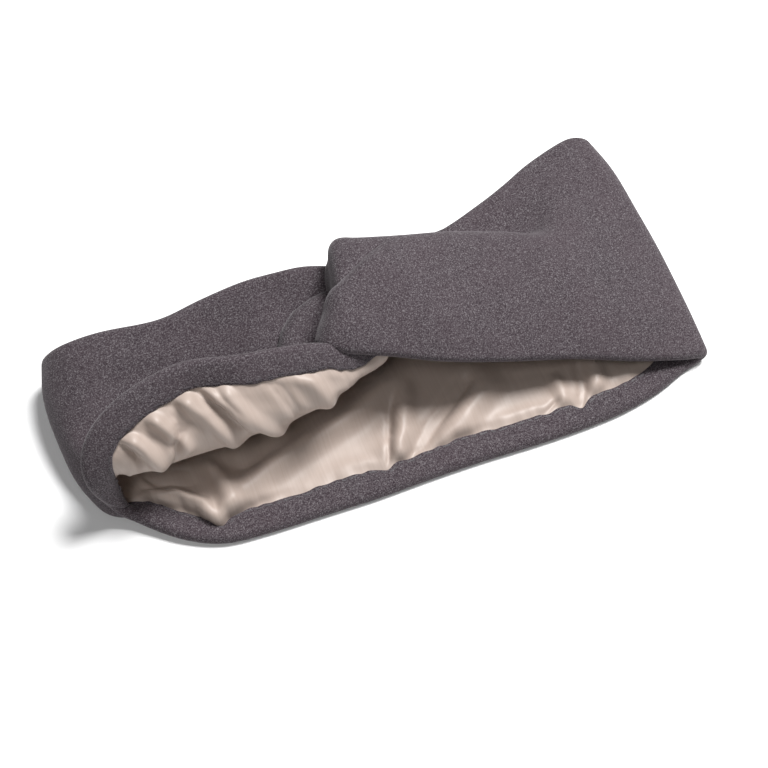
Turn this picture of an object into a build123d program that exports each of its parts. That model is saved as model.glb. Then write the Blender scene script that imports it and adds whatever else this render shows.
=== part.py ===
from build123d import *
import os

os.makedirs("parts", exist_ok=True)

# A twisted fabric headband that lies flattened on its back half.  +X runs along the
# flattened length, +Y across the band to its far rim, +Z up.  The origin is on the
# underside, at the centre-back seam.  Units are millimetres.

# Cloth, elastic and thread
outer_thick = 1.2
lining_thick = 0.5
hem_thick = 0.8
elastic_thick = 0.6
thread_d = 0.6
layer_gap = 0.25
hem_gap = 0.5

# How deep the cloth is pressed flat where the band lies on the table
pressed = 0.05

# Across the band: the hem is the outer cloth turned in over the elastic
hem_from = 0.5
hem_to = 8.5
elastic_from = 1.2
elastic_to = 6.8
lining_inset = 7.2
stitch_inset = 7.6

# Along the band: the inner layers stop this share short of the folded ends
end_margin = 0.05

# Depth of each inner layer below the inner face of the outer cloth
elastic_depth = layer_gap
lining_depth = layer_gap
hem_depth = elastic_depth + elastic_thick + hem_gap
stitch_depth = hem_depth + hem_thick + layer_gap

# Centre-back seams and the sewing
seam_half_width = 2.5
seam_height = 0.9
stitch_length = 2.5
stitches_per_rim = 14
tack_height = 7.0
tack_places = [(-4, 0), (-2, 5), (-4, 10), (2, 5)]

# The left flap's turn through the knot: a gathered bundle in a flat loop
turn_height = 8.0
turn_thick = 3.0
turn_points = [(-16, -12), (-2, -12), (8, -5), (11, 4), (7, 13), (-2, 17.5), (-16, 19)]
turn_z = 27.5


def level(x, near, far):
    """One station of the back half, flat on the table between its two rims."""
    inner_face = outer_thick - pressed
    return [(x, near + (far - near) * share, inner_face) for share in (0, 0.25, 0.5, 0.75, 1)]


# Stations along the inner face of the outer cloth.  Each one runs from the near rim to
# the far rim, and the end stations rise where the cloth folds over.
back_stations = [
    [(-86.5, -21, 10.5), (-90, -13, 7), (-94, 3, 7), (-93.5, 20, 7.5), (-90, 34.5, 7.5)],
    [(-80, -28, 3.6), (-84, -16, 2.6), (-88, 2, 2.4), (-88, 19, 2.4), (-86, 36, 2.5)],
    [(-68, -37.5, 1.3), (-70, -18, 1.2), (-72, 0, 1.2), (-72, 19, 1.2), (-72, 37.5, 1.2)],
    level(-56, -43, 38),
    level(-40, -45, 38),
    level(-20, -47, 37.5),
    level(0, -48, 37),
    level(25, -48.5, 36),
    level(50, -49, 36),
    level(75, -48.5, 41),
    level(92, -47, 46),
    [(104, -44.5, 1.3), (105, -22, 1.4), (105, 1, 1.6), (104, 25, 1.8), (101, 48, 1.8)],
    [(110, -43, 2), (111, -21, 2.8), (111.5, 2, 3.5), (110.5, 26, 4), (107, 48, 4.2)],
]

# The left flap is a trough: its near rim stands up and its middle hangs inside the loop.
left_stations = [
    [(-87.5, -20.5, 14), (-91, -13, 10.5), (-94.5, 3, 10.5), (-94, 20, 11), (-90.5, 34, 11)],
    [(-90.5, -18.5, 26), (-90, -12, 17.5), (-94, 4, 14.5), (-93.5, 20, 15), (-90, 33.5, 15)],
    [(-86, -11, 38.5), (-84, -14, 26), (-87, 6, 18.5), (-89, 20, 20), (-86, 32.5, 20)],
    [(-72, -5, 44), (-66, -17, 30), (-70, 4, 16), (-73, 19, 22), (-73, 30, 24)],
    [(-53, -2.5, 45.5), (-49, -17.5, 30), (-52, 2, 14), (-54, 17, 19.5), (-54, 27.5, 23)],
    [(-37, -6.5, 45), (-34, -20.5, 29), (-36, -2, 14), (-38, 15, 18.5), (-39, 29, 24)],
    [(-25, -8, 44), (-23, -20, 29), (-24, -2, 17), (-25, 14, 20), (-25, 29, 24)],
    [(-17, -9, 40), (-16.5, -17.5, 29), (-17.5, -2, 21), (-17.5, 13, 22.5), (-17.5, 28, 25)],
]

# The right flap is an arch whose far rim is tucked down behind its crest.
right_stations = [
    [(111, -43, 4.6), (113, -21, 7), (113.5, 2, 8.4), (112.5, 26, 9.5), (109, 47, 10)],
    [(104, -43.5, 6), (106, -21, 9.2), (107, 0, 11), (106, 25, 12.2), (101, 46, 12.2)],
    [(88, -39, 9.5), (90, -19, 15.5), (91, 0, 17), (90, 24, 16), (88, 42.5, 13)],
    [(66, -31.5, 15), (66, -14.5, 21.5), (65, 0, 24), (63, 14, 22.5), (64, 34, 13)],
    [(47, -28, 20), (45, -10.5, 27), (44, 4, 29.5), (45, 18, 27), (47, 28.5, 14)],
    [(26, -22, 27.5), (26, -7.5, 34), (27, 6, 36), (28, 19, 34), (30, 25, 17)],
    [(11, -16.5, 32.5), (12, -2, 37.5), (13, 9, 39), (14, 21, 36.5), (14, 25, 22)],
    [(-1, -12, 35.5), (1, -1, 39), (3, 9, 40), (6, 20, 38), (7, 24, 25)],
    [(-8, -9.5, 36), (-5, 1, 38.5), (-2, 9, 39), (2, 19, 37.5), (4, 23, 28)],
]

# The right flap turns round the left one at the knot and lies back below it.
wrap_stations = [
    [(-10, -5, 34.5), (-9, 0, 35.5), (-8, 5, 36), (-7, 10, 35.5), (-5, 14, 34.5)],
    [(-13, -5, 27), (-12, 0, 27), (-11, 5, 27), (-10, 10, 27), (-9, 14, 27)],
    [(-10, -5, 18.5), (-9, 0, 18), (-8, 5, 18), (-7, 10, 18), (-6, 14, 18.5)],
    [(4, -6, 16.5), (4, 0, 16), (5, 6, 15.5), (5, 12, 16), (5, 17, 16.5)],
    [(22, -8, 16.5), (22, 0, 16), (23, 7, 15.5), (23, 14, 16), (23, 20, 16.5)],
]


def skin(rows):
    """A smooth face through rows of points."""
    return Face.make_surface_from_array_of_points([[Vector(*p) for p in row] for row in rows])


# Each half's master face, with +1 where its normal points into the loop and -1 where not
back_master = (skin(back_stations), 1)
left_master = (skin(left_stations), -1)
right_master = (skin(right_stations), 1)
wrap_master = (skin(wrap_stations), 1)


def spot(master, u, distance, depth):
    """A point some distance along the cloth from the near rim, sunk below the master face."""
    face, inward = master
    steps = 60
    travelled = 0
    v = 0
    for step in range(steps):
        span = (face.position_at(u, (step + 1) / steps) - face.position_at(u, step / steps)).length
        if travelled + span >= distance:
            v = (step + (distance - travelled) / span) / steps
            break
        travelled += span
    return face.position_at(u, v) + face.normal_at(u, v) * inward * depth


def width_at(master, u):
    """The width of the band, measured along the cloth."""
    points = [master[0].position_at(u, step / 60) for step in range(61)]
    return sum((after - before).length for before, after in zip(points, points[1:]))


def near_strip(start, end):
    """A strip along the near rim: where it starts and ends for a given band width."""
    return lambda width: (start, end)


def far_strip(start, end):
    """The same strip along the far rim."""
    return lambda width: (width - end, width - start)


def middle(width):
    """The lining's share of the band, between the two hems."""
    return (lining_inset, width - lining_inset)


def write(piece, name):
    piece.part.label = name
    export_step(piece.part, f"parts/{name}.step")


def make_outer(master, name):
    """The outer cloth: the master face, thickened away from the loop and flat on the table."""
    face, inward = master
    with BuildPart() as cloth:
        thicken(face, amount=-inward * outer_thick)
        split(bisect_by=Plane.XY, keep=Keep.TOP)
    write(cloth, name)


def make_layer(master, name, strip, depth, thickness, rows):
    """An inner layer: a strip of the master face, sunk and thickened towards the loop."""
    columns = 11
    grid = []
    for row in range(rows):
        u = end_margin + (1 - 2 * end_margin) * row / (rows - 1)
        start, end = strip(width_at(master, u))
        marks = [start + (end - start) * column / (columns - 1) for column in range(columns)]
        grid.append([spot(master, u, mark, depth) for mark in marks])
    with BuildPart() as cloth:
        thicken(skin(grid), amount=master[1] * thickness)
    write(cloth, name)


def make_stitches(master, name, from_far_rim):
    """A row of straight stitches where a hem is sewn down on the lining."""
    with BuildPart() as thread:
        for count in range(stitches_per_rim):
            u = 0.1 + 0.8 * count / (stitches_per_rim - 1)
            inset = width_at(master, u) - stitch_inset if from_far_rim else stitch_inset
            here = spot(master, u, inset, stitch_depth)
            ahead = spot(master, u + 0.01, inset, stitch_depth)
            along = (ahead - here).normalized()
            lift = spot(master, u, inset, stitch_depth + 1) - here
            with Locations(Plane(origin=here, x_dir=along, z_dir=lift)):
                Box(stitch_length, thread_d, thread_d, align=(Align.CENTER, Align.CENTER, Align.MIN))
    write(thread, name)


def make_half(master, half, rows):
    """The outer cloth, lining, hems, elastics and stitches of one half of the band."""
    make_outer(master, f"{half}_outer")
    make_layer(master, f"{half}_lining", middle, lining_depth, lining_thick, rows)
    for rim, strip in (("near", near_strip), ("far", far_strip)):
        elastic = strip(elastic_from, elastic_to)
        hem = strip(hem_from, hem_to)
        make_layer(master, f"{half}_{rim}_elastic", elastic, elastic_depth, elastic_thick, rows)
        make_layer(master, f"{half}_{rim}_hem", hem, hem_depth, hem_thick, rows)
        make_stitches(master, f"{half}_{rim}_stitches", rim == "far")


def make_back_seam():
    """The pressed-open seam allowance where the lining is joined at the centre back."""
    near, far = -37, 26
    with BuildPart() as seam:
        with BuildSketch(Plane.XZ.offset(-near)):
            with Locations((0, outer_thick + lining_depth + lining_thick + layer_gap)):
                Rectangle(2 * seam_half_width, seam_height, align=(Align.CENTER, Align.MIN))
        extrude(amount=-(far - near))
        top = seam.edges().filter_by(Axis.Y).sort_by(Axis.Z)[-2:]
        fillet(top, radius=seam_height / 2)
    write(seam, "centre_back_seam")


def make_knot_left_turn():
    """The left flap gathered into a bundle that turns back inside the right flap."""
    with BuildPart() as bundle:
        with BuildLine(Plane.XY.offset(turn_z)) as route:
            Spline(*turn_points)
        with BuildSketch(Plane(origin=route.wire() @ 0, z_dir=route.wire() % 0)):
            RectangleRounded(turn_thick, turn_height, turn_thick / 3)
        sweep()
    write(bundle, "knot_left_turn")


def make_knot_tacks():
    """Hand-sewn tacks under the right flap's turn, one beside each gather."""
    with BuildPart() as tacks:
        with Locations([(x, y, 18.5) for x, y in tack_places]):
            Cylinder(thread_d / 2, tack_height, align=(Align.CENTER, Align.CENTER, Align.MIN))
    write(tacks, "knot_tacks")


make_half(back_master, "back", 26)
make_half(left_master, "left", 26)
make_half(right_master, "right", 26)
make_outer(wrap_master, "knot_right_turn")
make_knot_left_turn()
make_back_seam()
make_knot_tacks()
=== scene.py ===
import math

import bpy
import numpy as np
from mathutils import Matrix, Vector


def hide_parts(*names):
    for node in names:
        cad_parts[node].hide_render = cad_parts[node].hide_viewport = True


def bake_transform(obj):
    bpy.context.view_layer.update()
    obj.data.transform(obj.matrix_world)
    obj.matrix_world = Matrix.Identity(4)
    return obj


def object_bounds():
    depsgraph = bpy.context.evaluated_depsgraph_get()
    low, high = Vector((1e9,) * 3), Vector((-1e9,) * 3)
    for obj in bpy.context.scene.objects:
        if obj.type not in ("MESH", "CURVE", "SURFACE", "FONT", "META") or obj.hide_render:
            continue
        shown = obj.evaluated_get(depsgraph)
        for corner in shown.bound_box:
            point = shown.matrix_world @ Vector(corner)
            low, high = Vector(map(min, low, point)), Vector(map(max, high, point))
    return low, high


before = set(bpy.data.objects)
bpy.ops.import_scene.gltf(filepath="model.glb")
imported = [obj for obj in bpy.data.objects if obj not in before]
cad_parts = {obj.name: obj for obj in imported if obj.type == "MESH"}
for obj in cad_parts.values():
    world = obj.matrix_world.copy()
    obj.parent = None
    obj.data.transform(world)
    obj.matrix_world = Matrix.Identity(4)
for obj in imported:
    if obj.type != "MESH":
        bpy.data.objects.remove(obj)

# A twisted spa headband that lies flattened on its back half with the near rim lifted.
# Lengths below are millimetres in the frame's axes; MM turns them into metres.
MM = 0.001
cad_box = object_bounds()

HALF_STACK = 1.4        # half the thickness of a hem: outer cloth, elastic and turned edge
CLOTH_THICK = 0.85
HEM_WIDTH = 8.5
UNDER_HEM = 2.4         # how far the lining's edge runs in under the hem
LINING_THICK = 0.35
# Where a gather pulls the hem's sewn edge in: place along the band, depth, half width
PINCHES = [(161, 3.6, 3), (217, 2.2, 2.5), (273, 1.0, 2), (285, 2.6, 2.2), (133, 1.6, 2.5)]
ROWS_PER_STATION = 14
COLUMNS = 121

# Lining and its cloth simulation
LINING_COLUMNS = 120
DEEPEST = 8.0           # where folds meet, they can't pile up past this
FOLD_FADE = 0.3         # the share of a fold's length over which its far end dies away
SHELL_GAP = 1.9         # how far outside the unfolded lining the outer cloth stops it
SIM_ROW_STEP = 3        # the cloth simulation uses every third row and column
SIM_FRAMES = 16
SETTLE_LIMIT = 1.4      # how far the simulation may carry a point
SIM_SCALE = 10          # it runs ten times life size, where the solver's own limits are small

# Trim inside the hems and the knot
ELASTIC_THICK = 0.6
ELASTIC_EDGES = (1.4, 7.0)      # in from the rim
STITCH_PITCH = 3.2
STITCH_LENGTH = 1.8
STITCH_FROM_EDGE = 1.0          # how far inside the hem's sewn edge
STITCH_LIFTS = (-1.6, -1.95)
BACK_SEAM_PLACE = 217           # along the band
BACK_SEAM_INSET = 11
BACK_SEAM_THICK = 0.5
TACK_PLACES = [(-4, 0), (-2, 5), (-4, 10), (2, 5)]
TACK_HEIGHTS = (18.5, 25.5)

# The camera matches the photo's viewing angle: degrees, then millimetres
AZIMUTH, ELEVATION = -22.6, 64
CAMERA_AWAY = 419
CAMERA_TARGET = (7.5, -15, 10)
FLOOR_HALF = 3.0        # metres

# ---------------------------------------------------------------- the shape of the band

SHARES = (0, 0.1, 0.22, 0.4, 0.6, 0.8, 1)


def level(x, near, far, z=1.6):
    """A station of the back half, flat on the table."""
    return [(x, near + (far - near) * share, z) for share in SHARES]


# Each station runs from the near rim to the far rim, at the shares of the width above.
LEFT_FLAP = [
    [(12, -8, 31), (13, -8, 30), (13, -6, 28), (13, -2, 27.5), (13, 4, 27), (13, 10, 26.5), (12, 15, 26)],
    [(6, -6, 33), (7, -10, 32), (8, -13.5, 27), (8, -4, 23), (8, 5, 24.5), (8, 14, 26), (7, 21, 27)],
    [(-4, -9.5, 36.5), (-3, -13.2, 33.5), (-2, -16.5, 27), (-1, -8, 19),
     (-2, 4, 21.5), (-3, 16, 23), (-3, 26.5, 26)],
    [(-14, -8.5, 41.5), (-13, -15, 36.5), (-12, -20, 28), (-12, -12, 17),
     (-13, 2, 19.5), (-14, 16, 20.5), (-14, 28.5, 25.5)],
    [(-25, -7.5, 44.5), (-24, -15, 39), (-23, -21.5, 28.5), (-23, -14, 15.5),
     (-24, 1, 16), (-25, 15, 20), (-25, 29.5, 25)],
    [(-37, -6, 46), (-36, -14.5, 40), (-34, -22, 29), (-35, -15, 14),
     (-37, 2, 13.5), (-38, 16, 18.5), (-39, 29, 24)],
    [(-53, -2, 46), (-50, -10, 39.5), (-48, -18.5, 29), (-51, -12, 13.5),
     (-53, 6, 14), (-54, 18, 19.5), (-54, 27.5, 23.5)],
    [(-70, -4, 44.5), (-65, -12, 38), (-62, -18.5, 28), (-66, -9, 14.5),
     (-70, 8, 17), (-71, 20, 22), (-72, 30, 24)],
    [(-82, -8.5, 41), (-74, -14.5, 35), (-72, -17.5, 25), (-78, -6, 16),
     (-83, 9, 18.5), (-84, 21, 21.5), (-84, 31, 22.5)],
    [(-88.5, -13, 35), (-80.5, -16.5, 29.5), (-82, -13, 21), (-88, -3, 16.5),
     (-91, 10, 16.5), (-91.5, 22, 17.5), (-90, 32, 18)],
]
LEFT_FOLD = [
    [(-90.8, -17.5, 27), (-84, -17.5, 23.5), (-86, -12.5, 16.5), (-92.5, -2, 12),
     (-94.8, 10, 11.5), (-94.5, 22, 12), (-91.5, 33, 12.5)],
    [(-89.5, -20, 17), (-84.5, -19.5, 12), (-89, -17, 7), (-94, -5, 5.4),
     (-94.5, 9, 6), (-94, 22, 6.5), (-90.5, 34, 7)],
    [(-84.5, -23.5, 7.5), (-83.5, -22.5, 4), (-88, -18.5, 2.4), (-92, -5, 2.2),
     (-91, 9, 2.6), (-90.5, 22, 2.8), (-88, 35.5, 3)],
    [(-78, -30, 3.4), (-76.5, -23, 3), (-79, -17, 2.2), (-82, -4, 1.7),
     (-83, 9, 1.6), (-83, 23, 1.6), (-82, 36.5, 1.7)],
    [(-69, -37.5, 2.2), (-68.5, -30, 1.8), (-69, -21.5, 1.6), (-70, -6, 1.6),
     (-70, 9, 1.6), (-70.5, 24, 1.6), (-71, 37.5, 1.6)],
]
BACK_HALF = [
    level(-58, -43, 38), level(-44, -45, 38), level(-26, -46.2, 37.5), level(-8, -47.4, 37),
    level(10, -47.8, 36.5), level(28, -48.6, 36), level(46, -50, 36), level(62, -50.8, 37.5),
    level(78, -50.6, 41.5), level(92, -48.6, 46),
]
RIGHT_FOLD = [
    [(103, -45.2, 1.6), (104, -36, 1.6), (104.5, -25, 1.6), (105, -7, 1.6),
     (105, 13, 1.7), (105, 31, 1.8), (103, 48, 1.8)],
    [(109, -44, 2), (109.8, -34.5, 2.4), (110.5, -23, 2.6), (111, -5, 3),
     (111, 14, 3.2), (111, 31, 3.4), (108.5, 48, 3.5)],
    [(111.6, -43.6, 3.6), (112.3, -34, 4.6), (113, -23, 5.2), (113.7, -4, 6),
     (113.7, 14, 6.6), (113.5, 31, 7), (111, 46.5, 7.2)],
    [(109.5, -43.6, 5.4), (110.3, -34, 6.8), (111.3, -22, 8), (112.5, -3, 9.2),
     (112.5, 15, 10.2), (112.2, 31.5, 11), (109.5, 47, 11)],
    [(103, -42.6, 7), (104, -34, 8.8), (105.5, -21.5, 10.4), (107, -2, 11.8),
     (107, 15.5, 12.4), (107, 32, 13), (103, 47.5, 12.6)],
]
RIGHT_FLAP = [
    [(88, -38.6, 10.2), (89, -31, 13), (90, -19, 15.5), (91, -2, 17),
     (91, 15, 16.5), (90, 30, 14.5), (87, 43, 13)],
    [(78, -35.4, 12.8), (78.5, -28, 16), (79, -17, 19), (79, -4, 21),
     (78, 8, 20.8), (77, 18, 13.8), (76, 38.5, 13)],
    [(66, -31.6, 15.6), (66, -25, 18.5), (66, -14.5, 22), (65, 0, 24.5),
     (63.5, 12.5, 24.5), (63.5, 17, 13), (64, 34, 13.5)],
    [(47, -27.3, 20.4), (46, -20.5, 24), (45, -10.5, 27.5), (44.5, 4, 30),
     (45, 17, 29.5), (45.5, 19.5, 17), (46, 28.5, 14)],
    [(26, -22.3, 27), (26, -16, 31), (26, -7.5, 34), (27, 7, 36),
     (28, 18.5, 35), (29, 21.5, 25), (30, 26, 16.5)],
    [(10, -16.5, 32), (10, -10.5, 35), (10.5, -2, 37.5), (12, 10, 39.3),
     (14, 21, 38), (14.5, 24, 30), (14, 25, 21)],
    [(-3, -12, 35.5), (-0.5, -7, 38), (2.5, 0.5, 39.4), (5, 10.5, 39.8),
     (8.5, 22.8, 38.2), (9.5, 25.2, 32), (9, 24.8, 24)],
    [(-7, -9.4, 36), (-4, -5.2, 37.8), (0, 1, 38.6), (3.2, 10, 38.6),
     (6.2, 22.4, 37), (7.4, 24.6, 32), (7.6, 24.6, 25.5)],
]
RIGHT_TURN = [
    [(-8.4, -7.8, 33), (-5, -3.8, 34), (-0.4, 2, 34.4), (2.4, 10, 34.5),
     (4.8, 19.8, 33.6), (6, 22.8, 30.5), (6.8, 23.6, 26.5)],
    [(-8.2, -6.8, 28.5), (-4.8, -3, 28.5), (-0.4, 2.6, 28.5), (2.2, 9.5, 28.5),
     (3, 18, 28), (4.2, 21.5, 27), (5.2, 22.5, 25)],
    [(-8, -5, 22), (-6.5, -2, 21.5), (-3.5, 2, 21), (-0.5, 8, 20.5),
     (3, 15, 21), (5, 19.5, 21.5), (7, 21.5, 21.5)],
    [(4, -7, 17.5), (4, -3, 17), (5, 1, 16.5), (6, 8, 16), (8, 15, 16.5), (9, 20, 17), (10, 22.5, 18)],
    [(20, -8, 16), (20, -4, 15.5), (21, 1, 15), (22, 9, 14.5),
     (23, 17, 14.5), (23, 21.5, 15), (23, 25, 15.5)],
]
RING = LEFT_FLAP + LEFT_FOLD + BACK_HALF + RIGHT_FOLD + RIGHT_FLAP + RIGHT_TURN
FIRST_RIGHT = len(RING) - len(RIGHT_TURN) - len(RIGHT_FLAP)


def curve_through(points, places):
    """Catmull-Rom values at fractional places along the first axis of an array of points."""
    last = len(points) - 1
    index = np.clip(np.floor(places).astype(int), 0, last - 1)
    part = (places - index).reshape((-1,) + (1,) * (points.ndim - 1))
    here, after = points[index], points[index + 1]
    at_start = (index == 0).reshape(part.shape)
    at_end = (index == last - 1).reshape(part.shape)
    before = np.where(at_start, 2 * here - after, points[np.maximum(index - 1, 0)])
    beyond = np.where(at_end, 2 * after - here, points[np.minimum(index + 2, last)])
    linear = (after - before) * part
    square = (2 * before - 5 * here + 4 * after - beyond) * part ** 2
    cube = (3 * here - before - 3 * after + beyond) * part ** 3
    return 0.5 * (2 * here + linear + square + cube)


def master_grid():
    """The band's middle surface as rows along the band by columns across it."""
    stations = np.array(RING, float)
    spans = len(RING) - 1
    rows = curve_through(stations, np.linspace(0, spans, spans * ROWS_PER_STATION + 1))
    grid = curve_through(rows.transpose(1, 0, 2), np.linspace(0, len(SHARES) - 1, COLUMNS))
    return grid.transpose(1, 0, 2)


def outward(grid):
    """Unit normals that point away from the loop's inside."""
    along = np.gradient(grid, axis=0)
    across = np.gradient(grid, axis=1)
    normals = np.cross(across, along)
    return normals / np.maximum(np.linalg.norm(normals, axis=2, keepdims=True), 1e-9)


def smoothed(grid, rounds, axis):
    """The grid with each row or column averaged with its neighbours, ends held."""
    grid = np.moveaxis(grid.copy(), axis, 0)
    for _ in range(rounds):
        grid[1:-1] = 0.25 * grid[:-2] + 0.5 * grid[1:-1] + 0.25 * grid[2:]
    return np.moveaxis(grid, 0, axis)


def smoothstep(value):
    value = np.clip(value, 0, 1)
    return value * value * (3 - 2 * value)


def to_line(points, line):
    """Signed distance from 2-D points to a line of points, and the share along it of the nearest spot.

    The distance is positive on the left of the line's direction.
    """
    line = np.array(line, float)
    steps = np.linalg.norm(np.diff(line, axis=0), axis=1)
    starts = np.concatenate([[0], np.cumsum(steps)])
    best = np.full(points.shape[:-1], np.inf)
    signed = np.zeros(points.shape[:-1])
    share = np.zeros(points.shape[:-1])
    for start, end, step, travelled in zip(line[:-1], line[1:], steps, starts):
        direction = (end - start) / step
        offset = points - start
        along = np.clip(offset @ direction, 0, step)
        away = np.linalg.norm(offset - along[..., None] * direction, axis=-1)
        side = np.sign(direction[0] * offset[..., 1] - direction[1] * offset[..., 0])
        closer = away < best
        best = np.where(closer, away, best)
        signed = np.where(closer, side * away, signed)
        share = np.where(closer, (travelled + along) / starts[-1], share)
    return signed, share


def ridge(points, line, height, half_width):
    """A fold along a line: how much it lifts each point, fading out towards its far end."""
    signed, share = to_line(points, line)
    return height * np.exp(-(signed / half_width) ** 2) * smoothstep((1.001 - share) / FOLD_FADE)


def overlap(points, line, height, half_width, reach):
    """A step along a line: the cloth on its right stands higher, sinking back over the reach."""
    signed, share = to_line(points, line)
    step = smoothstep(0.5 - signed / (2 * half_width)) * np.exp(-(np.minimum(signed, 0) / reach) ** 2)
    hollow = np.exp(-((signed - 1.5 * half_width) / (2 * half_width)) ** 2)
    ends = smoothstep(share / 0.08 + 0.2) * smoothstep((1 - share) / 0.35)
    return height * (step - 0.45 * hollow) * ends


def overhang(points, line, amount, reach):
    """How far the high side of a step leans out over the low side, as offsets in plan."""
    signed, share = to_line(points, line)
    chord = np.subtract(line[-1], line[0]) / np.linalg.norm(np.subtract(line[-1], line[0]))
    lean = amount * np.exp(-(signed / reach) ** 2) * (signed < reach / 2) * smoothstep((1 - share) / 0.35)
    return lean[..., None] * np.array([-chord[1], chord[0], 0])


master = smoothed(smoothed(master_grid(), 6, 0), 3, 1)
normal = smoothed(outward(master), 3, 0)
normal /= np.linalg.norm(normal, axis=2, keepdims=True)
across_share = np.linspace(0, 1, master.shape[1])
right_flap = slice(FIRST_RIGHT * ROWS_PER_STATION, (FIRST_RIGHT + len(RIGHT_FLAP)) * ROWS_PER_STATION)
left_flap = slice(0, len(LEFT_FLAP) * ROWS_PER_STATION)
KNOT_CREASE = [(-15, -10.5), (-10, -6), (-6, -2.4), (-2, 1.2), (2, 5),
               (8, 8.3), (12, 10.6), (15, 12.8), (21, 16.5), (27, 19)]
TROUGH_CREASE = [(-23.5, -9), (-20, 1), (-15.5, 8), (-10.5, 12), (-4, 13.5), (4, 14), (12, 14)]


def crease(rows, mask, line, height, half_width, reach, lean):
    """Presses one overlapping crease into some rows of the band."""
    plan = master[rows][..., :2].copy()
    lift = mask * overlap(plan, line, height, half_width, reach)
    master[rows] += normal[rows] * lift[..., None] + mask[..., None] * overhang(plan, line, lean, 2.2)


on_top = smoothstep((master[right_flap][..., 2] - 25) / 5)
crease(right_flap, on_top, KNOT_CREASE, 2.6, 0.7, 14, 1.2)
in_trough = smoothstep((across_share - 0.3) / 0.08) * np.ones((len(LEFT_FLAP) * ROWS_PER_STATION, 1))
crease(left_flap, in_trough, TROUGH_CREASE, 4.2, 1.2, 7, 1.4)
normal = smoothed(outward(master), 2, 0)
normal /= np.linalg.norm(normal, axis=2, keepdims=True)
spans = np.linalg.norm(np.diff(master, axis=1), axis=2)
distance = np.concatenate([np.zeros((len(master), 1)), np.cumsum(spans, axis=1)], axis=1)
width = distance[:, -1]
middle_column = master[:, master.shape[1] // 2]
length_along = np.concatenate([[0], np.cumsum(np.linalg.norm(np.diff(middle_column, axis=0), axis=1))])


def at(row, inset, lift):
    """Points of one row at distances in from the near rim, lifted along the outward normal."""
    where = np.interp(inset, distance[row], np.arange(master.shape[1]))
    low = np.clip(where.astype(int), 0, master.shape[1] - 2)
    part = (where - low)[:, None]
    place = master[row, low] * (1 - part) + master[row, low + 1] * part
    direction = normal[row, low] * (1 - part) + normal[row, low + 1] * part
    return place + direction * np.asarray(lift)[:, None]


# ---------------------------------------------------------------- pieces

def grid_mesh(name, grid, uv):
    """A mesh object from a grid of points in millimetres; one unit of its UV map is 100 mm of cloth."""
    rows, columns = grid.shape[:2]
    index = np.arange(rows * columns).reshape(rows, columns)
    corners = [index[:-1, :-1], index[1:, :-1], index[1:, 1:], index[:-1, 1:]]
    faces = np.stack(corners, axis=-1).reshape(-1, 4)
    mesh = bpy.data.meshes.new(name)
    mesh.from_pydata((grid.reshape(-1, 3) * MM).tolist(), [], faces.tolist())
    layer = mesh.uv_layers.new(name="cloth")
    loops = np.empty(len(mesh.loops), int)
    mesh.loops.foreach_get("vertex_index", loops)
    layer.data.foreach_set("uv", (uv.reshape(-1, 2)[loops] * 0.01).ravel())
    mesh.polygons.foreach_set("use_smooth", [True] * len(mesh.polygons))
    piece = bpy.data.objects.new(name, mesh)
    bpy.context.collection.objects.link(piece)
    return piece


def add_modifier(piece, kind, **settings):
    modifier = piece.modifiers.new(kind.title(), kind)
    for key, value in settings.items():
        setattr(modifier, key, value)


def value_noise(x, seed):
    """Smooth one-dimensional noise from -1 to 1 with one knot per unit."""
    knots = np.random.RandomState(seed).uniform(-1, 1, 4096)
    cell = np.floor(x).astype(int)
    part = smoothstep(x - cell)
    return knots[cell % 4096] * (1 - part) + knots[(cell + 1) % 4096] * part


def hem_width_at(along):
    """The hem's width along the band; the gathers pull its sewn edge about, most at the pinches."""
    ripple = 0.4 * value_noise(along / 2.2, 21) + 0.45 * value_noise(along / 7, 22)
    pinches = sum(depth * np.exp(-((along - place) / spread) ** 2) for place, depth, spread in PINCHES)
    return HEM_WIDTH + ripple - pinches


def cross_section(row):
    """Insets and lifts across one row of outer cloth: hem, rounded rim, outside, rim, hem."""
    radius = HALF_STACK
    hem = min(hem_width_at(length_along[row]), width[row] * 0.3)
    turn = np.linspace(math.pi, 0, 9)
    hem_share = np.linspace(1, 0, 9)[:-1]
    near_inset = np.concatenate([radius + (hem - radius) * hem_share, radius - radius * np.sin(turn)])
    near_lift = np.concatenate([-radius * (1 - 0.45 * hem_share ** 2), radius * np.cos(turn)])
    outside = np.linspace(radius, width[row] - radius, 64)[1:-1]
    inset = np.concatenate([near_inset, outside, width[row] - near_inset[::-1]])
    lift = np.concatenate([near_lift, np.full(len(outside), radius), near_lift[::-1]])
    return inset, lift


def make_outer_cloth():
    """The knit outer cloth: one sheet round the loop with both long edges turned in."""
    rows, uvs = [], []
    for row in range(len(master)):
        inset, lift = cross_section(row)
        rows.append(at(row, inset, lift))
        rows[-1][:, 2] = np.maximum(rows[-1][:, 2], CLOTH_THICK + 0.05)
        across = np.concatenate([[0], np.cumsum(np.linalg.norm(np.diff(rows[-1], axis=0), axis=1))])
        uvs.append(np.stack([np.full(len(inset), length_along[row]), across], axis=1))
    piece = grid_mesh("outer_cloth", np.array(rows), np.array(uvs))
    add_modifier(piece, "SOLIDIFY", thickness=CLOTH_THICK * MM, offset=-1, use_even_offset=False)
    add_modifier(piece, "SUBSURF", levels=1, render_levels=1)
    return piece


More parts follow.
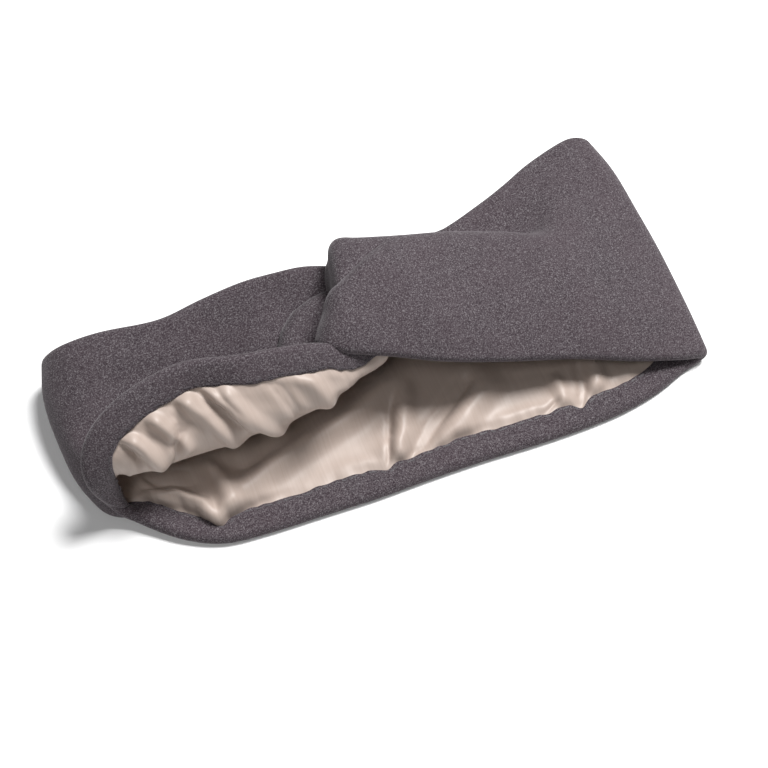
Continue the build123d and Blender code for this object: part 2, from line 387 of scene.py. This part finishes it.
# Folds of the lining, as lines of (along the band, in from the near rim), height into the
# loop and half width.  A negative height is a groove.
LINING_FOLDS = [
    ([(217, 5), (220, 12), (224, 22), (227, 30)], -2.2, 1.0),
    ([(221, 7), (226, 17), (231, 27), (236, 36)], 3.6, 3.0),
    ([(228, 8), (235, 15), (244, 21), (252, 27), (258, 34)], -3.0, 2.8),
    ([(238, 8), (247, 15), (256, 22), (266, 30)], 2.8, 4.5),
    ([(285, 4.5), (288, 11), (290, 17), (291, 24)], -3.4, 1.6),
    ([(280, 6), (281, 14), (281, 22)], 2.2, 2.4),
    ([(291, 7), (294, 15), (297, 24)], 2.6, 3),
    ([(273, 8), (280, 12)], -1.4, 1),
    ([(161, 3), (164, 8), (165, 11)], -1.6, 0.7),
    ([(164, 4), (167, 12), (166, 20), (163, 30)], 6.0, 3.0),
    ([(160, 5), (158, 12), (150, 15), (140, 11), (134, 5)], 5.6, 2.6),
    ([(156, 23), (148, 22), (140, 18)], -2.0, 4),
    ([(175, 24), (178, 32), (184, 38)], -2.0, 4),
    ([(165, 11), (172, 15), (190, 22), (210, 28), (232, 36), (242, 40)], 4.2, 4.6),
    ([(78, 8), (79, 16), (86, 22), (90, 27)], -3.4, 1.5),
    ([(76, 8), (72, 19), (66, 28), (60, 36)], 3.4, 2.4),
    ([(70, 9), (66, 18), (61, 27)], -2.6, 1.4),
    ([(66, 9), (62, 18), (57, 27)], 2.8, 1.9),
    ([(61, 9), (58, 19), (51, 30), (47, 40)], 3.0, 2.4),
    ([(46, 9), (44, 20), (42, 28)], -2.2, 1.8),
    ([(97, 8), (95, 18), (92, 27)], 3.4, 2),
    ([(101, 8), (100, 16), (97, 23)], -2.6, 1.4),
    ([(86, 8), (84, 18), (82, 27)], 3.0, 2.2),
    ([(36, 9), (33, 20), (31, 30)], 2.0, 3),
    ([(104, 18), (94, 25), (84, 29), (70, 30), (56, 30)], 4.0, 6),
]


def lining_depth(along, inset, edge):
    """How far the lining puffs into the loop: its placed folds and the slack between the hems."""
    spots = np.stack([along, inset], axis=-1)
    depth = sum(ridge(spots, line, height, half) for line, height, half in LINING_FOLDS)
    depth = DEEPEST * np.tanh(depth / DEEPEST)
    medium = value_noise(along / 5.5 + 0.06 * inset, 5) * np.exp(-edge / 14)
    large = value_noise(along / 21 + 0.03 * inset, 8)
    depth = depth * smoothstep((edge - 1.5) / 4) + 0.3 * medium * smoothstep((edge - 1.5) / 4)
    return np.maximum(depth + 0.7 * large * smoothstep(edge / 12), -1.1)


def puckers(along, inset, edge):
    """The fine gathers that the hem stitches leave beside the sewn edge."""
    return 0.75 * value_noise(along / 1.9 + 0.05 * inset, 3) * np.exp(-edge / 4)


def lining_start():
    """The lining before it settles: points and cloth coordinates, rows along and columns across."""
    rows, cloth = [], []
    for row in range(len(master)):
        inset_from = min(hem_width_at(length_along[row]) - UNDER_HEM, width[row] * 0.25)
        inset = np.linspace(inset_from, width[row] - inset_from, LINING_COLUMNS + 1)
        from_edge = np.minimum(inset - inset_from, width[row] - inset_from - inset)
        rows.append(at(row, inset, -0.3 - 1.2 * smoothstep(from_edge / 6)))
        cloth.append(np.stack([np.full(len(inset), length_along[row]), inset, from_edge], axis=1))
    return np.array(rows), np.array(cloth)


def normal_for(grid):
    """Outward directions, evened out along the band so that neighbouring folds don't cross."""
    return smoothed(outward(grid), 8, 0)


def pin_edges(piece, rows, columns):
    """Holds the two sewn edges and the two ends inside the knot."""
    group = piece.vertex_groups.new(name="sewn")
    index = np.arange(rows * columns).reshape(rows, columns)
    held = np.concatenate([index[:, 0], index[:, -1], index[0], index[-1]])
    group.add(held.tolist(), 1.0, "REPLACE")
    group.add(np.concatenate([index[:, 1], index[:, -2]]).tolist(), 1.0, "REPLACE")
    group.add(np.concatenate([index[:, 2], index[:, -3]]).tolist(), 0.3, "REPLACE")
    return group.name


def add_cloth(piece, pins):
    """Light slippery satin, a little too large for the space it is sewn into."""
    settings = piece.modifiers.new("Cloth", "CLOTH").settings
    settings.quality = 7
    settings.mass = 0.15
    settings.tension_stiffness = 18
    settings.compression_stiffness = 18
    settings.shear_stiffness = 6
    settings.bending_stiffness = 0.6
    settings.vertex_group_mass = pins
    settings.shrink_min = -0.01
    settings.effector_weights.gravity = 0.35
    settings.air_damping = 4
    collision = piece.modifiers["Cloth"].collision_settings
    collision.collision_quality = 3
    collision.distance_min = 0.006
    collision.use_self_collision = False


def settled(start, shell):
    """The lining after a cloth simulation inside the outer cloth, held along its sewn edges."""
    rows, columns = start.shape[:2]
    cloth = grid_mesh("settling", start * SIM_SCALE, start[..., :2])
    around = grid_mesh("settling_shell", shell * SIM_SCALE, shell[..., :2])
    around.modifiers.new("Collision", "COLLISION")
    around.collision.thickness_outer = 0.004
    around.collision.cloth_friction = 2
    add_cloth(cloth, pin_edges(cloth, rows, columns))
    scene = bpy.context.scene
    for moment in range(1, SIM_FRAMES + 1):
        scene.frame_set(moment)
    shape = cloth.evaluated_get(bpy.context.evaluated_depsgraph_get()).to_mesh()
    points = np.empty(rows * columns * 3)
    shape.vertices.foreach_get("co", points)
    scene.frame_set(1)
    for piece in (cloth, around):
        bpy.data.objects.remove(piece)
    return points.reshape(rows, columns, 3) / (MM * SIM_SCALE)


def refined(coarse, rows, columns):
    """The coarse grid carried back to the full number of rows and columns."""
    along = curve_through(coarse, np.linspace(0, coarse.shape[0] - 1, rows))
    across = curve_through(along.transpose(1, 0, 2), np.linspace(0, coarse.shape[1] - 1, columns))
    return across.transpose(1, 0, 2)


def make_lining():
    """The satin lining, gathered under both hems and settled by a cloth simulation."""
    flat_start, cloth = lining_start()
    s, v, edge = cloth[..., 0], cloth[..., 1], cloth[..., 2]
    grid = flat_start - normal_for(flat_start) * lining_depth(s, v, edge)[..., None]
    step = SIM_ROW_STEP
    shell = flat_start[::step, ::step] + normal_for(flat_start)[::step, ::step] * SHELL_GAP
    moved = refined(settled(grid[::step, ::step], shell), *grid.shape[:2]) - grid
    moved = smoothed(smoothed(moved, 10, 0), 5, 1)
    far = np.linalg.norm(moved, axis=2, keepdims=True)
    grid += moved * SETTLE_LIMIT * np.tanh(far / SETTLE_LIMIT) / np.maximum(far, 1e-9)
    grid -= normal_for(grid) * puckers(s, v, edge)[..., None]
    piece = grid_mesh("lining", grid, cloth[..., :2])
    add_modifier(piece, "SOLIDIFY", thickness=LINING_THICK * MM, offset=1, use_even_offset=False)
    add_modifier(piece, "SUBSURF", levels=1, render_levels=1)
    return piece


def from_far(inset, row, far_side):
    """Distances in from the near rim, or from the far rim for the far hem."""
    return width[row] - inset if far_side else inset


def make_elastic(name, far_side):
    """The flat elastic that runs round the loop inside one hem."""
    rows, uvs = [], []
    for row in range(0, len(master), 2):
        inset = from_far(np.linspace(*ELASTIC_EDGES, 5), row, far_side)
        rows.append(at(row, inset, np.zeros(5)))
        uvs.append(np.stack([np.full(5, length_along[row]), inset], axis=1))
    piece = grid_mesh(name, np.array(rows), np.array(uvs))
    add_modifier(piece, "SOLIDIFY", thickness=ELASTIC_THICK * MM, offset=0, use_even_offset=False)
    return piece


def mesh_of_bars(name, bars):
    """One mesh from bars with four corners at each end."""
    faces = [(0, 1, 2, 3), (7, 6, 5, 4), (0, 4, 5, 1), (1, 5, 6, 2), (2, 6, 7, 3), (3, 7, 4, 0)]
    points = np.concatenate(bars) * MM
    every = [[corner + 8 * bar for corner in face] for bar in range(len(bars)) for face in faces]
    mesh = bpy.data.meshes.new(name)
    mesh.from_pydata(points.tolist(), [], every)
    piece = bpy.data.objects.new(name, mesh)
    bpy.context.collection.objects.link(piece)
    return piece


def make_stitches(name, far_side):
    """Short threads that catch down the turned edge of one hem."""
    bars = []
    for place in np.arange(3, length_along[-1] - 3, STITCH_PITCH):
        corners = []
        for end in (place, place + STITCH_LENGTH):
            row = int(np.searchsorted(length_along, end))
            inset = hem_width_at(end) - STITCH_FROM_EDGE + np.array([-0.2, 0.2, 0.2, -0.2])
            corners.append(at(row, from_far(inset, row, far_side), np.repeat(STITCH_LIFTS, 2)))
        bars.append(np.concatenate(corners))
    return mesh_of_bars(name, bars)


def make_back_seam():
    """The lining's seam allowance at the centre back, between the lining and the outer cloth."""
    rows, uvs = [], []
    middle = int(np.searchsorted(length_along, BACK_SEAM_PLACE))
    for row in range(middle - 2, middle + 3):
        inset = np.linspace(BACK_SEAM_INSET, width[row] - BACK_SEAM_INSET, 24)
        rows.append(at(row, inset, np.full(24, -0.5)))
        uvs.append(np.stack([np.full(24, length_along[row]), inset], axis=1))
    piece = grid_mesh("back_seam", np.array(rows), np.array(uvs))
    add_modifier(piece, "SOLIDIFY", thickness=BACK_SEAM_THICK * MM, offset=0, use_even_offset=False)
    return piece


def make_tacks():
    """Hand-sewn threads that hold the gathers inside the knot."""
    square = np.array([(-0.4, -0.4), (0.4, -0.4), (0.4, 0.4), (-0.4, 0.4)])
    bars = []
    for x, y in TACK_PLACES:
        ends = [np.column_stack([square + (x, y), np.full(4, z)]) for z in TACK_HEIGHTS]
        bars.append(np.concatenate(ends))
    return mesh_of_bars("knot_tacks_thread", bars)


# ---------------------------------------------------------------- materials

def new_material(name):
    material = bpy.data.materials.new(name)
    material.use_nodes = True
    nodes = material.node_tree.nodes
    return material, nodes, material.node_tree.links, nodes["Principled BSDF"]


def ramp(nodes, links, source, stops):
    node = nodes.new("ShaderNodeValToRGB")
    elements = node.color_ramp.elements
    while len(elements) < len(stops):
        elements.new(0.5)
    for element, (place, colour) in zip(elements, stops):
        element.position = place
        element.color = (*colour, 1)
    links.new(source, node.inputs["Fac"])
    return node.outputs["Color"]


def cloth_coordinates(nodes, links, scale):
    """The cloth's own UV map, stretched by scale = (along, across)."""
    uv = nodes.new("ShaderNodeTexCoord")
    mapping = nodes.new("ShaderNodeMapping")
    mapping.inputs["Scale"].default_value = (scale[0], scale[1], 1)
    links.new(uv.outputs["UV"], mapping.inputs["Vector"])
    return mapping.outputs["Vector"]


def solid_coordinates(nodes, links, scale):
    """The piece's own space, so that a fleck is the same size everywhere."""
    place = nodes.new("ShaderNodeTexCoord")
    mapping = nodes.new("ShaderNodeMapping")
    mapping.inputs["Scale"].default_value = (scale, scale, scale)
    links.new(place.outputs["Object"], mapping.inputs["Vector"])
    return mapping.outputs["Vector"]


def noise(nodes, links, vector, detail, rough):
    node = nodes.new("ShaderNodeTexNoise")
    node.inputs["Scale"].default_value = 1.0
    node.inputs["Detail"].default_value = detail
    node.inputs["Roughness"].default_value = rough
    links.new(vector, node.inputs["Vector"])
    return node.outputs["Fac"]


def maths(nodes, links, operation, first, second):
    node = nodes.new("ShaderNodeMath")
    node.operation = operation
    for socket, value in zip(node.inputs, (first, second)):
        if isinstance(value, (int, float)):
            socket.default_value = value
        else:
            links.new(value, socket)
    return node.outputs[0]


def mixed(nodes, links, factor, first, second):
    node = nodes.new("ShaderNodeMix")
    node.data_type = "RGBA"
    for name, value in (("Factor", factor), ("A", first), ("B", second)):
        kind = "VALUE" if name == "Factor" else "RGBA"
        socket = next(s for s in node.inputs if s.name == name and s.type == kind and s.enabled)
        if isinstance(value, (int, float)):
            socket.default_value = value
        elif isinstance(value, tuple):
            socket.default_value = (*value, 1)
        else:
            links.new(value, socket)
    return next(s for s in node.outputs if s.enabled)


def bump(nodes, links, shader, height, strength, distance):
    node = nodes.new("ShaderNodeBump")
    node.inputs["Strength"].default_value = strength
    node.inputs["Distance"].default_value = distance
    links.new(height, node.inputs["Height"])
    links.new(node.outputs["Normal"], shader.inputs["Normal"])


def heather_knit():
    """Brushed charcoal knit: dark and pale fibres in fine flecks, with a soft nap."""
    material, nodes, links, shader = new_material("heather_knit")
    flecks = noise(nodes, links, solid_coordinates(nodes, links, 2300), 5, 0.75)
    cloud = noise(nodes, links, solid_coordinates(nodes, links, 60), 3, 0.6)
    dark_to_pale = ramp(nodes, links, flecks, [
        (0.39, (0.015, 0.011, 0.014)), (0.465, (0.044, 0.036, 0.041)),
        (0.54, (0.076, 0.065, 0.072)), (0.62, (0.20, 0.187, 0.195))])
    share = maths(nodes, links, "MULTIPLY", cloud, 0.38)
    warm = mixed(nodes, links, share, dark_to_pale, (0.075, 0.05, 0.06))
    links.new(warm, shader.inputs["Base Color"])
    shader.inputs["Roughness"].default_value = 0.95
    shader.inputs["Specular IOR Level"].default_value = 0.15
    shader.inputs["Sheen Weight"].default_value = 0.25
    shader.inputs["Sheen Roughness"].default_value = 0.45
    shader.inputs["Sheen Tint"].default_value = (0.75, 0.72, 0.74, 1)
    nap = noise(nodes, links, solid_coordinates(nodes, links, 3000), 3, 0.7)
    bump(nodes, links, shader, maths(nodes, links, "ADD", nap, flecks), 0.35, 0.00012)
    return material


def satin():
    """Champagne satin with fine ribs and a soft sheen."""
    material, nodes, links, shader = new_material("satin_lining")
    ribs = noise(nodes, links, cloth_coordinates(nodes, links, (130, 3)), 2, 0.6)
    tone = noise(nodes, links, cloth_coordinates(nodes, links, (3, 3)), 2, 0.5)
    base = ramp(nodes, links, ribs, [(0.3, (0.385, 0.312, 0.272)), (0.7, (0.42, 0.346, 0.306))])
    toned = mixed(nodes, links, maths(nodes, links, "MULTIPLY", tone, 0.25), base, (0.36, 0.275, 0.225))
    links.new(toned, shader.inputs["Base Color"])
    shader.inputs["Roughness"].default_value = 0.48
    shader.inputs["Specular IOR Level"].default_value = 0.45
    shader.inputs["Sheen Weight"].default_value = 0.2
    shader.inputs["Sheen Roughness"].default_value = 0.3
    shader.inputs["Sheen Tint"].default_value = (1.0, 0.95, 0.9, 1)
    bump(nodes, links, shader, ribs, 0.2, 0.0001)
    return material


def plain(name, colour, roughness):
    """A matt finish with a fine uneven tone."""
    material, nodes, links, shader = new_material(name)
    tone = noise(nodes, links, solid_coordinates(nodes, links, 900), 3, 0.6)
    darker = tuple(0.7 * part for part in colour)
    links.new(ramp(nodes, links, tone, [(0.35, darker), (0.65, colour)]), shader.inputs["Base Color"])
    shader.inputs["Roughness"].default_value = roughness
    return material


def finish_cloth(piece, material):
    piece.data.materials.append(material)
    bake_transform(piece)


outer = make_outer_cloth()
lining = make_lining()
near_elastic = make_elastic("near_elastic", False)
far_elastic = make_elastic("far_elastic", True)
near_stitches = make_stitches("near_stitches", False)
far_stitches = make_stitches("far_stitches", True)
back_seam = make_back_seam()
tacks = make_tacks()
knit, satin_cloth = heather_knit(), satin()
elastic = plain("elastic", (0.62, 0.6, 0.57), 0.7)
thread = plain("thread", (0.07, 0.06, 0.068), 0.6)
finish_cloth(outer, knit)
finish_cloth(lining, satin_cloth)
finish_cloth(back_seam, satin_cloth)
for piece in (near_elastic, far_elastic):
    finish_cloth(piece, elastic)
for piece in (near_stitches, far_stitches, tacks):
    finish_cloth(piece, thread)


def stands_for(piece, *endings):
    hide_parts(*[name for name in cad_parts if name.endswith(endings)])


stands_for(outer, "_outer", "_hem", "_turn")
stands_for(lining, "_lining")
stands_for(near_elastic, "_near_elastic")
stands_for(far_elastic, "_far_elastic")
stands_for(near_stitches, "_near_stitches")
stands_for(far_stitches, "_far_stitches")
stands_for(back_seam, "_back_seam")
stands_for(tacks, "knot_tacks")


# ---------------------------------------------------------------- floor, lights and camera

def area_light(name, place, aim, size, power):
    data = bpy.data.lights.new(name, "AREA")
    data.shape = "DISK"
    data.size = size
    data.energy = power
    lamp = bpy.data.objects.new(name, data)
    lamp.location = place
    lamp.rotation_euler = direction_to(place, aim)
    bpy.context.collection.objects.link(lamp)


def direction_to(place, aim):
    return (Vector(aim) - Vector(place)).to_track_quat("-Z", "Y").to_euler()


def make_stage():
    mesh = bpy.data.meshes.new("floor")
    low = cad_box[0][2] - 0.0002
    corners = [(x * FLOOR_HALF, y * FLOOR_HALF, low) for x, y in ((-1, -1), (1, -1), (1, 1), (-1, 1))]
    mesh.from_pydata(corners, [], [(0, 1, 2, 3)])
    floor = bpy.data.objects.new("floor", mesh)
    bpy.context.collection.objects.link(floor)
    material, nodes, links, shader = new_material("pale_floor")
    shader.inputs["Base Color"].default_value = (0.93, 0.93, 0.93, 1)
    shader.inputs["Roughness"].default_value = 0.9
    mesh.materials.append(material)
    world = bpy.data.worlds.new("studio")
    world.use_nodes = True
    world.node_tree.nodes["Background"].inputs["Color"].default_value = (1, 1, 1, 1)
    world.node_tree.nodes["Background"].inputs["Strength"].default_value = 0.1
    bpy.context.scene.world = world
    bpy.context.scene.view_settings.view_transform = "Standard"
    area_light("key", (0.5, 0.2, 1.05), (0, 0, 0), 0.42, 22)
    area_light("fill", (-0.4, -0.35, 1.1), (0, 0, 0), 0.4, 3.2)


def make_camera():
    azimuth, elevation = math.radians(AZIMUTH), math.radians(ELEVATION)
    level_part = math.cos(elevation)
    target = [part * MM for part in CAMERA_TARGET]
    back = (math.sin(azimuth) * level_part, -math.cos(azimuth) * level_part, math.sin(elevation))
    data = bpy.data.cameras.new("camera")
    data.lens = 60
    data.sensor_width = 36
    data.clip_start = 0.01
    camera = bpy.data.objects.new("camera", data)
    camera.location = [t + CAMERA_AWAY * MM * b for t, b in zip(target, back)]
    camera.rotation_euler = direction_to(camera.location, target)
    bpy.context.collection.objects.link(camera)
    bpy.context.scene.camera = camera


make_stage()
make_camera()
